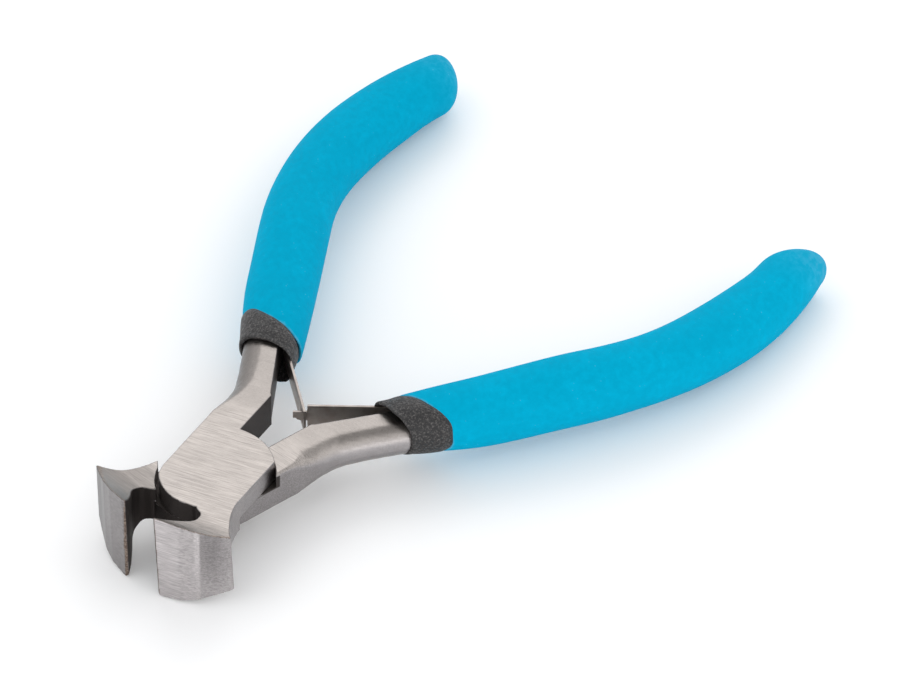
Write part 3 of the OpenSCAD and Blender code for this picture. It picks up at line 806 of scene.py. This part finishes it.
def forging(side, mat):
    """One half as it shows: jaw, lap plate, neck and shank."""
    form = JAW_ENDS[side]

    def field(x, y, z):
        return steel(x, y, z, **form)

    low, high = (-33.2, -15.0, form["z_low"] - 0.5), (17.4, 12.0, form["z_top"] + 0.5)
    me, v, n = field_mesh(side + "_forging", field, low, high, GRID, PLACE[side])
    set_attribute(me, "ground", smooth_step(-16.5, -12.0, v[:, 0]))
    # darkened hollow and inside wall, and painted shade round the lap
    set_attribute(me, "dark_and_painted_shade", darkness(v, n))
    # painted reflections and painted shade
    set_painted_light(me, v, n, side)
    set_attribute(me, "land", brownness(v, n, side))
    o = add_object(side + "_forging", me)
    me.normals_split_custom_set_from_vertices((n @ np.array(PLACE[side])[:3, :3].T).tolist())
    me.materials.append(mat)
    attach(o, side + "_handle")
    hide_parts(side + "_half")


BAR_ENDS = (2.0, 68.0)
BAR_AXIS = -0.4                # the bar's middle stands this far from the handle's axis
BAR_AROUND = 24


def bar(side, mat):
    """The steel bar inside the sleeve."""
    t = np.linspace(0, 2 * np.pi, BAR_AROUND, endpoint=False)
    start, end = BAR_ENDS
    rings = []
    for s in [start, *np.linspace(start + 1, end - 0.8, 40), end - 0.1, end]:
        narrow, flat = (0.9, 0.92) if s == end else (1, 1)
        d, z = section(t, 2.5 * (1 - 0.018 * s / 4.25) * narrow, 2.2 * flat, 6)
        rings.append(to_handle(np.full(BAR_AROUND, s), d + BAR_AXIS, BAR_Z[side] + z))
    o = ring_object(side + "_bar", rings, PLACE[side], True, True)
    o.data.materials.append(mat)
    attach(o, side + "_handle")
    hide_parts(side + "_half")


# the lower half's copy of the steel is dimmed slightly as painted shade
mat_steel = {"upper": steel_material("upper_steel", 16.2),
             "lower": steel_material("lower_steel", -4.0, (0.98, 0.98, 0.98))}
mat_bar = rod_material("bar_steel")
for side in PLACE:
    forging(side, mat_steel[side])
for side in PLACE:
    bar(side, mat_bar)

# ------------------------------------------------------------------ grips and sleeves

# the lower grip's copy is painted brighter, as painted light
mat_grip = {"upper": cushion_material("cushion_blue_a", 1.0),
            "lower": cushion_material("cushion_blue_b", 1.06)}
mat_sleeve = sleeve_material("sleeve_black")


def worn_places(side, co):
    """How rubbed each of the cushion's points is: round its closed end and along its front lip."""
    p, forward, across = axis(END)
    tip = placed([[*(p + ENDS[side][1] * forward - 2 * across), BAR_Z[side]]], PLACE[side])[0]
    worn = np.exp(-(np.linalg.norm(co - tip, axis=1) / MM / 4.6) ** 2)
    worn[WORN_LIP] = 0.9
    return worn


for side in PLACE:
    cushion = ring_object(side + "_cushion", grip_rings(side), PLACE[side], False, True)
    set_attribute(cushion.data, "worn", worn_places(side, np.array([v.co for v in cushion.data.vertices])))
    cushion.data.materials.append(mat_grip[side])
    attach(cushion, side + "_handle")
    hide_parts(side + "_grip")
    collar = ring_object(side + "_collar", sleeve_rings(side), PLACE[side])
    collar.data.materials.append(mat_sleeve)
    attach(collar, side + "_handle")
    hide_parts(side + "_sleeve")

# ------------------------------------------------------------------ leaf springs

LEAN = 41.2                    # degrees between a leaf's free part and the centre line
EXIT = np.array([-28.34, -3.526])              # where the free part begins
FREE = 12.25                   # length of the free part
ROOT_AT, BEND_AT = 20.0, 3.62  # places of the root's end and of the bend along the handle
ROOT_FROM = FREE + 4           # distance from the tip at which the strip becomes its narrower root
LEAF_D = 2.1 + 0.05 + 0.25     # distance of the root from the handle's axis
STRIP_HALF, ROOT_HALF, TONGUE_HALF = 2.0, 1.4, 0.8       # half widths
HALF_THICK = 0.19
SLOT = (9.7, 11.8)             # the slot's two ends, from EXIT
SLOT_HALF = 1.1                # greatest half width of the slot
SHOULDER = 10.1                # where the tongue begins, from EXIT
SHOULDER_RUN = 0.05
HOOK = ((0.55, 0.45), (1.1, 0.2))              # distance from the tip, and how much is cut off one side
LEAF_POINTS = 17               # points across a strip


def leaf_span(from_tip, tongue):
    """Lower and upper edge of a strip at a distance from its tip."""
    if tongue and from_tip <= FREE - SHOULDER + 0.02:
        cuts = [cut for reach, cut in HOOK if from_tip < reach]
        return -TONGUE_HALF, TONGUE_HALF - (cuts[0] if cuts else 0)
    half = STRIP_HALF if from_tip < ROOT_FROM else ROOT_HALF
    return -half, half


def leaf_rows(tongue):
    """Rows of points on the two faces of a strip, and which cells between them are steel."""
    p_root, _, n_root = axis(ROOT_AT)
    p_bend, _, n_bend = axis(BEND_AT)
    tip = EXIT + FREE * np.array([math.cos(math.radians(LEAN)), math.sin(math.radians(LEAN))])
    line = fillet([(*(p_root + LEAF_D * n_root), 0), (*(p_bend + LEAF_D * n_bend), 5.0), (*tip, 0)], 8)
    along = np.concatenate([[0], np.cumsum(np.linalg.norm(np.diff(line, axis=0), axis=1))])
    total, gap = along[-1], FREE - SHOULDER
    near_tip = np.array([0.0, 0.12, 0.35, 0.5, 1.1, gap, gap + SHOULDER_RUN, FREE - SLOT[0], FREE - SLOT[1]])
    stations = np.unique(np.concatenate([np.linspace(0, total, 60), total - near_tip]))
    centre = np.stack([np.interp(stations, along, line[:, i]) for i in range(2)], 1)
    tangent = np.gradient(centre, axis=0)
    tangent /= np.linalg.norm(tangent, axis=1)[:, None]
    normal = np.stack([-tangent[:, 1], tangent[:, 0]], 1)
    rows = []
    for s, c, n in zip(stations, centre, normal):
        heights = np.linspace(*leaf_span(total - s, tongue), LEAF_POINTS)
        rows.append([[(*(c + n * HALF_THICK * face), z) for z in heights] for face in (-1, 1)])
    middle = (stations[:-1] + stations[1:]) / 2 - total + FREE
    cells = np.ones((len(stations) - 1, LEAF_POINTS - 1), bool)
    if not tongue:
        across = -STRIP_HALF + 2 * STRIP_HALF * (np.arange(LEAF_POINTS - 1) + 0.5) / (LEAF_POINTS - 1)
        in_slot = (middle > SLOT[0]) & (middle < SLOT[1])
        cells = ~(in_slot[:, None] & (np.abs(across) < SLOT_HALF)[None])
    return rows, cells


def leaf_mesh(name, side, tongue):
    """Closed mesh of a strip, with walls wherever a cell has no neighbour."""
    rows, cells = leaf_rows(tongue)
    bm = bmesh.new()
    rows = [[[bm.verts.new(point) for point in face] for face in row] for row in rows]
    steel_at = np.pad(cells, 1)
    for i, j in np.argwhere(cells):
        a, b = rows[i], rows[i + 1]
        bm.faces.new((a[0][j], b[0][j], b[0][j + 1], a[0][j + 1]))
        bm.faces.new((a[1][j + 1], b[1][j + 1], b[1][j], a[1][j]))
        if not steel_at[i, j + 1]:
            bm.faces.new((a[1][j], a[0][j], a[0][j + 1], a[1][j + 1]))
        if not steel_at[i + 2, j + 1]:
            bm.faces.new((b[0][j], b[1][j], b[1][j + 1], b[0][j + 1]))
        if not steel_at[i + 1, j]:
            bm.faces.new((a[0][j], a[1][j], b[1][j], b[0][j]))
        if not steel_at[i + 1, j + 2]:
            bm.faces.new((a[1][j + 1], a[0][j + 1], b[0][j + 1], b[1][j + 1]))
    bmesh.ops.delete(bm, geom=[v for v in bm.verts if not v.link_faces], context="VERTS")
    bmesh.ops.recalc_face_normals(bm, faces=bm.faces)
    for v in bm.verts:
        v.co = Vector(placed(v.co, PLACE[side]))
    me = bpy.data.meshes.new(name)
    bm.to_mesh(me)
    bm.free()
    return me


def leaf(name, side, tongue, node, mat):
    """Flat spring: a strip bent where it leaves the bar, with a slot or a hooked tongue at its end."""
    me = leaf_mesh(name, side, tongue)
    me.materials.append(mat)
    o = add_object(name, me)
    bevel = o.modifiers.new("edge", "BEVEL")
    bevel.width = 0.05 * MM
    bevel.segments = 2
    bevel.limit_method = "ANGLE"
    bevel.angle_limit = math.radians(50)
    bpy.context.view_layer.update()
    graph = bpy.context.evaluated_depsgraph_get()
    bevelled = bpy.data.meshes.new_from_object(o.evaluated_get(graph))
    o.modifiers.clear()
    o.data = bevelled
    bevelled.set_sharp_from_angle(angle=math.radians(40))
    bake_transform(o)
    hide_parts(node)


mat_leaf = {"upper": spring_material("spring_steel_a", LEAN + HALF_OPEN),
            "lower": spring_material("spring_steel_b", -LEAN - HALF_OPEN)}
leaf("slotted_leaf_strip", "upper", False, "slotted_leaf_spring", mat_leaf["upper"])
leaf("tongue_leaf_strip", "lower", True, "tongue_leaf_spring", mat_leaf["lower"])

# ------------------------------------------------------------------ rivets

# The pivot rivet is ground flush, so its ends lie just under the skin of the plates
PIN = ((3.2, -3.6), (3.25, -3.5), (2.5, -2.75), (2.5, 2.75), (3.25, 3.5), (3.2, 3.6))    # radius, height
t = np.linspace(0, 2 * np.pi, 64, endpoint=False)
pin_rings = [np.stack([r * np.cos(t), r * np.sin(t), np.full(len(t), z)], 1) for r, z in PIN]
rivet = ring_object("pivot_pin", pin_rings, Matrix.Identity(4), True, True)
rivet.data.materials.append(mat_bar)
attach(rivet, "upper_handle")
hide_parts("pivot_rivet")
# The spring rivets keep their CAD form, inside the sleeves
for name in ("slotted_spring_rivet", "tongue_spring_rivet"):
    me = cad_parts[name].data
    me.materials.clear()
    me.materials.append(mat_bar)

# ------------------------------------------------------------------ floor, light, camera

# The tool lies on its jaws' lower ends and on its grips: the floor slopes by this much in the frame
tilt = math.atan2(9.3 - 4.9, 16.2 + 80.0)
bpy.ops.mesh.primitive_plane_add(size=3.0, location=(0, 0, 0))
floor = bpy.context.object
floor.name = "floor"
floor.rotation_euler = (0, tilt, 0)
floor.location = (0.0160, 0, -0.00935)
mat_floor, _, floor_shader = material("floor_pale")
floor_shader.inputs["Base Color"].default_value = (0.96, 0.96, 0.96, 1)
floor_shader.inputs["Roughness"].default_value = 0.6
floor.data.materials.append(mat_floor)

world = bpy.data.worlds.new("studio")
world.use_nodes = True
bpy.context.scene.world = world
# White all round, darker straight above
sky = world.node_tree
direction = add(sky, "ShaderNodeTexCoord")
split = add(sky, "ShaderNodeSeparateXYZ")
link(sky, direction, "Generated", split, "Vector")
top_fade = remap(sky, split, "Z", 0.76, 0.96, 1.0, 0.34)
sky.nodes["Background"].inputs[0].default_value = (0.985, 0.99, 1.0, 1)
sky.links.new(math_node(sky, "MULTIPLY", top_fade.outputs[0], 1.32), sky.nodes["Background"].inputs[1])


def softbox(name, place, aim, size, power):
    """Rectangular lamp at place that points at aim."""
    data = bpy.data.lights.new(name, "AREA")
    data.shape = "RECTANGLE"
    data.size, data.size_y = size
    data.energy = power
    o = bpy.data.objects.new(name, data)
    o.location = Vector(place)
    o.rotation_mode = "QUATERNION"
    o.rotation_quaternion = (Vector(aim) - Vector(place)).to_track_quat("-Z", "Y")
    bpy.context.scene.collection.objects.link(o)


CENTRE = (-0.035, 0, 0)
softbox("key", (-0.50, -0.36, 0.55), CENTRE, (0.45, 0.35), 0.62)
softbox("side", (0.30, 0.55, 0.20), CENTRE, (0.5, 0.12), 0.34)

# The photo's view: azimuth, elevation and roll in degrees, lens in mm, and what it looks at from how far
AZIMUTH, ELEVATION, ROLL = 129.74, 40.05, 0.295
LENS = 320.32
AIM = Vector((-0.04801, 0.00575, 0.00075))
DISTANCE = 1.2124

az, el, roll = math.radians(AZIMUTH), math.radians(ELEVATION), math.radians(ROLL)
back = Vector((math.sin(az) * math.cos(el), -math.cos(az) * math.cos(el), math.sin(el)))
level = Vector((math.cos(az), math.sin(az), 0))
upright = back.cross(level)
right = level * math.cos(roll) + upright * math.sin(roll)
up = upright * math.cos(roll) - level * math.sin(roll)
camera_data = bpy.data.cameras.new("camera")
camera_data.sensor_width = 36
camera_data.lens = LENS
camera_data.clip_end = 20
camera = bpy.data.objects.new("camera", camera_data)
turned = Matrix((right, up, back)).transposed().to_4x4()
turned.translation = AIM + back * DISTANCE
camera.matrix_world = turned
bpy.context.scene.collection.objects.link(camera)
bpy.context.scene.camera = camera
bpy.context.scene.view_settings.view_transform = "Standard"
